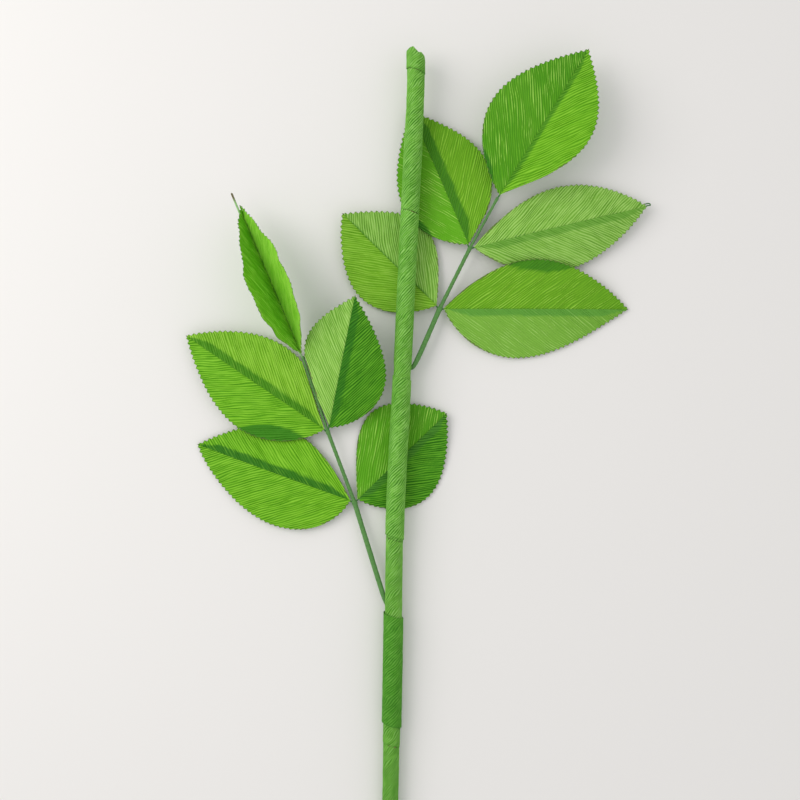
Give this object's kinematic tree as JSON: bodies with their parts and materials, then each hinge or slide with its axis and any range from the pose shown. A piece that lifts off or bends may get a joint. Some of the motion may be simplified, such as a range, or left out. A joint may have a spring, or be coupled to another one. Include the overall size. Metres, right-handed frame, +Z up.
{
  "type": "crepe paper flower stem with leaves",
  "caption": "Long green crepe-wrapped flower stem with a pair of wired sprigs of pointed, pinked-edged paper leaflets, lying flat; its top end is bare, ready for a bloom.",
  "frame": {"origin": "on the floor at the centre of the footprint, as the stem lies at rest", "axes": "+Y along the stem from its foot to its top, +X to the right when looking down on its front, +Z up"},
  "size_m": [0.4706, 1.001, 0.0663],
  "materials": {
    "stem_wood": "pale turned softwood, seen only at the foot",
    "stem_crepe": "matte green crepe paper wound on a slant, fine slanting ridges",
    "binding_crepe": "matte darker green crepe paper, pulled tight and smoother",
    "leaf_crepe": "matte translucent yellow-green crepe paper with fine ridges, darker where two plies overlap",
    "covered_wire": "green paper-covered florist wire",
    "stalk_tape": "green crepe tape wound tightly round the wires"
  },
  "bodies": {
    "root": {"left_sprig_binding": "binding_crepe", "left_sprig_lower_left_leaf_lower_half": "leaf_crepe", "left_sprig_lower_left_leaf_upper_half": "leaf_crepe", "left_sprig_lower_left_leaf_wire": "covered_wire", "left_sprig_lower_right_leaf_lower_half": "leaf_crepe", "left_sprig_lower_right_leaf_upper_half": "leaf_crepe", "left_sprig_lower_right_leaf_wire": "covered_wire", "left_sprig_tape_1": "stalk_tape", "left_sprig_tape_2": "stalk_tape", "left_sprig_tape_3": "stalk_tape", "left_sprig_tip_leaf_lower_half": "leaf_crepe", "left_sprig_tip_leaf_upper_half": "leaf_crepe", "left_sprig_tip_leaf_wire": "covered_wire", "left_sprig_upper_left_leaf_lower_half": "leaf_crepe", "left_sprig_upper_left_leaf_upper_half": "leaf_crepe", "left_sprig_upper_left_leaf_wire": "covered_wire", "left_sprig_upper_right_leaf_lower_half": "leaf_crepe", "left_sprig_upper_right_leaf_upper_half": "leaf_crepe", "left_sprig_upper_right_leaf_wire": "covered_wire", "right_sprig_binding": "binding_crepe", "right_sprig_lower_left_leaf_lower_half": "leaf_crepe", "right_sprig_lower_left_leaf_upper_half": "leaf_crepe", "right_sprig_lower_left_leaf_wire": "covered_wire", "right_sprig_lower_right_leaf_lower_half": "leaf_crepe", "right_sprig_lower_right_leaf_upper_half": "leaf_crepe", "right_sprig_lower_right_leaf_wire": "covered_wire", "right_sprig_tape_1": "stalk_tape", "right_sprig_tape_2": "stalk_tape", "right_sprig_tape_3": "stalk_tape", "right_sprig_tip_leaf_lower_half": "leaf_crepe", "right_sprig_tip_leaf_upper_half": "leaf_crepe", "right_sprig_tip_leaf_wire": "covered_wire", "right_sprig_upper_left_leaf_lower_half": "leaf_crepe", "right_sprig_upper_left_leaf_upper_half": "leaf_crepe", "right_sprig_upper_left_leaf_wire": "covered_wire", "right_sprig_upper_right_leaf_lower_half": "leaf_crepe", "right_sprig_upper_right_leaf_upper_half": "leaf_crepe", "right_sprig_upper_right_leaf_wire": "covered_wire", "stem_cap": "stem_crepe", "stem_core": "stem_wood", "stem_wrap_foot": "stem_crepe", "stem_wrap_lower": "stem_crepe", "stem_wrap_middle": "stem_crepe", "stem_wrap_upper": "stem_crepe"}
  },
  "joints": []
}
